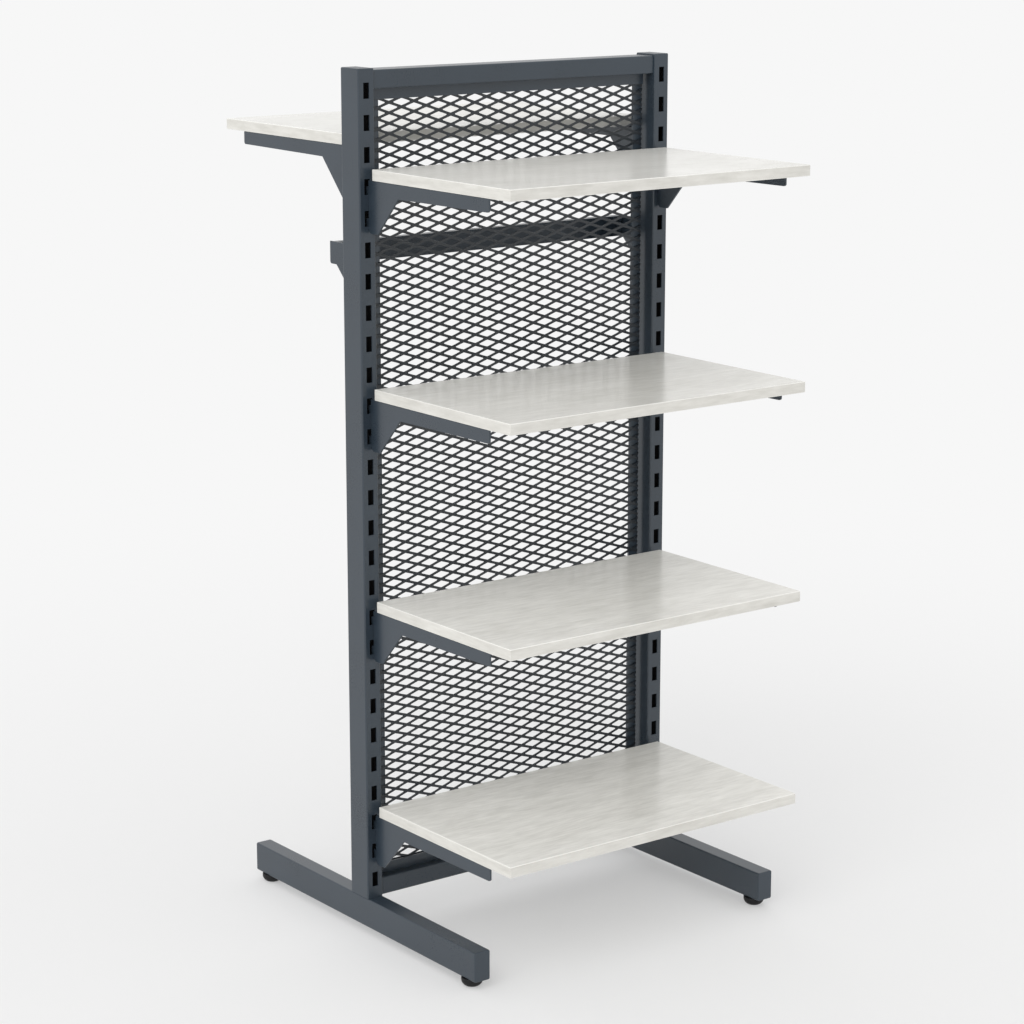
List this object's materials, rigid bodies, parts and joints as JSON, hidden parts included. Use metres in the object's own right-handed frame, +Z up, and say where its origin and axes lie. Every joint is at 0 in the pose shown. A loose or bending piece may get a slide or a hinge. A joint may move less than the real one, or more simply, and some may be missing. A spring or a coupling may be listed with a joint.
{
  "type": "gondola shelving",
  "caption": "Double-sided gondola shelf unit: slotted uprights on T-feet, expanded-metal back panel, hook-in wood-grain shelves and a hang bar.",
  "frame": {"origin": "on the floor, midway between the uprights and under the middle of their depth", "axes": "+Z up, +X along the bay to the right as seen from the side with most shelves, +Y from that side to the side with the hang bar"},
  "size_m": [0.635, 0.794, 1.432],
  "materials": {
    "painted_steel": "satin slate-grey powder coat",
    "painted_mesh": "satin dark grey powder coat",
    "cap_plastic": "matt slate-grey moulding",
    "shelf_laminate": "satin pale grey wood-grain laminate",
    "pad_plastic": "matt black moulding",
    "zinc_steel": "bright zinc plating"
  },
  "bodies": {
    "frame": {"upright_left": "painted_steel", "upright_cap_left": "cap_plastic", "panel_stile_left": "painted_steel", "foot_left": "painted_steel", "foot_cap_front_left": "cap_plastic", "foot_cap_rear_left": "cap_plastic", "upright_right": "painted_steel", "upright_cap_right": "cap_plastic", "panel_stile_right": "painted_steel", "foot_right": "painted_steel", "foot_cap_front_right": "cap_plastic", "foot_cap_rear_right": "cap_plastic", "top_beam": "painted_steel", "bottom_beam": "painted_steel", "panel_top_channel": "painted_steel", "panel_bottom_channel": "painted_steel", "expanded_mesh": "painted_mesh", "leveller_nuts": "zinc_steel"},
    "front_shelf_1": {"front_shelf_1_board": "shelf_laminate", "front_shelf_1_bracket_left": "painted_steel", "front_shelf_1_bracket_right": "painted_steel"},
    "front_shelf_2": {"front_shelf_2_board": "shelf_laminate", "front_shelf_2_bracket_left": "painted_steel", "front_shelf_2_bracket_right": "painted_steel"},
    "front_shelf_3": {"front_shelf_3_board": "shelf_laminate", "front_shelf_3_bracket_left": "painted_steel", "front_shelf_3_bracket_right": "painted_steel"},
    "front_shelf_4": {"front_shelf_4_board": "shelf_laminate", "front_shelf_4_bracket_left": "painted_steel", "front_shelf_4_bracket_right": "painted_steel"},
    "rear_shelf": {"rear_shelf_board": "shelf_laminate", "rear_shelf_bracket_left": "painted_steel", "rear_shelf_bracket_right": "painted_steel"},
    "hang_bar": {"hang_bar": "painted_steel", "hang_bar_bracket_left": "painted_steel", "hang_bar_bracket_right": "painted_steel"},
    "leveller_stud_front_left": {"leveller_stud_front_left": "zinc_steel"},
    "leveller_pad_front_left": {"leveller_pad_front_left": "pad_plastic"},
    "leveller_stud_rear_left": {"leveller_stud_rear_left": "zinc_steel"},
    "leveller_pad_rear_left": {"leveller_pad_rear_left": "pad_plastic"},
    "leveller_stud_front_right": {"leveller_stud_front_right": "zinc_steel"},
    "leveller_pad_front_right": {"leveller_pad_front_right": "pad_plastic"},
    "leveller_stud_rear_right": {"leveller_stud_rear_right": "zinc_steel"},
    "leveller_pad_rear_right": {"leveller_pad_rear_right": "pad_plastic"}
  },
  "joints": [
    {"name": "front_shelf_1_lift", "type": "slide", "parent": "frame", "child": "front_shelf_1", "axis": [0, 0, 1], "range_m": [0, 0.0115]},
    {"name": "front_shelf_2_lift", "type": "slide", "parent": "frame", "child": "front_shelf_2", "axis": [0, 0, 1], "range_m": [0, 0.0115]},
    {"name": "front_shelf_3_lift", "type": "slide", "parent": "frame", "child": "front_shelf_3", "axis": [0, 0, 1], "range_m": [0, 0.0115]},
    {"name": "front_shelf_4_lift", "type": "slide", "parent": "frame", "child": "front_shelf_4", "axis": [0, 0, 1], "range_m": [0, 0.0115]},
    {"name": "rear_shelf_lift", "type": "slide", "parent": "frame", "child": "rear_shelf", "axis": [0, 0, 1], "range_m": [0, 0.0115]},
    {"name": "hang_bar_lift", "type": "slide", "parent": "frame", "child": "hang_bar", "axis": [0, 0, 1], "range_m": [0, 0.0115]},
    {"name": "leveller_front_left_height", "type": "slide", "parent": "frame", "child": "leveller_stud_front_left", "axis": [0, 0, -1], "range_m": [0, 0.015]},
    {"name": "leveller_front_left_turn", "type": "hinge", "parent": "leveller_stud_front_left", "child": "leveller_pad_front_left", "pos_m": [-0.3, -0.297, 0], "axis": [0, 0, -1], "range_deg": [0, 4320]},
    {"name": "leveller_rear_left_height", "type": "slide", "parent": "frame", "child": "leveller_stud_rear_left", "axis": [0, 0, -1], "range_m": [0, 0.015]},
    {"name": "leveller_rear_left_turn", "type": "hinge", "parent": "leveller_stud_rear_left", "child": "leveller_pad_rear_left", "pos_m": [-0.3, 0.297, 0], "axis": [0, 0, -1], "range_deg": [0, 4320]},
    {"name": "leveller_front_right_height", "type": "slide", "parent": "frame", "child": "leveller_stud_front_right", "axis": [0, 0, -1], "range_m": [0, 0.015]},
    {"name": "leveller_front_right_turn", "type": "hinge", "parent": "leveller_stud_front_right", "child": "leveller_pad_front_right", "pos_m": [0.3, -0.297, 0], "axis": [0, 0, -1], "range_deg": [0, 4320]},
    {"name": "leveller_rear_right_height", "type": "slide", "parent": "frame", "child": "leveller_stud_rear_right", "axis": [0, 0, -1], "range_m": [0, 0.015]},
    {"name": "leveller_rear_right_turn", "type": "hinge", "parent": "leveller_stud_rear_right", "child": "leveller_pad_rear_right", "pos_m": [0.3, 0.297, 0], "axis": [0, 0, -1], "range_deg": [0, 4320]}
  ],
  "couplings": [
    {"joint": "leveller_front_left_height", "follows": "leveller_front_left_turn", "m_per_rad": 0.00019894},
    {"joint": "leveller_rear_left_height", "follows": "leveller_rear_left_turn", "m_per_rad": 0.00019894},
    {"joint": "leveller_front_right_height", "follows": "leveller_front_right_turn", "m_per_rad": 0.00019894},
    {"joint": "leveller_rear_right_height", "follows": "leveller_rear_right_turn", "m_per_rad": 0.00019894}
  ]
}
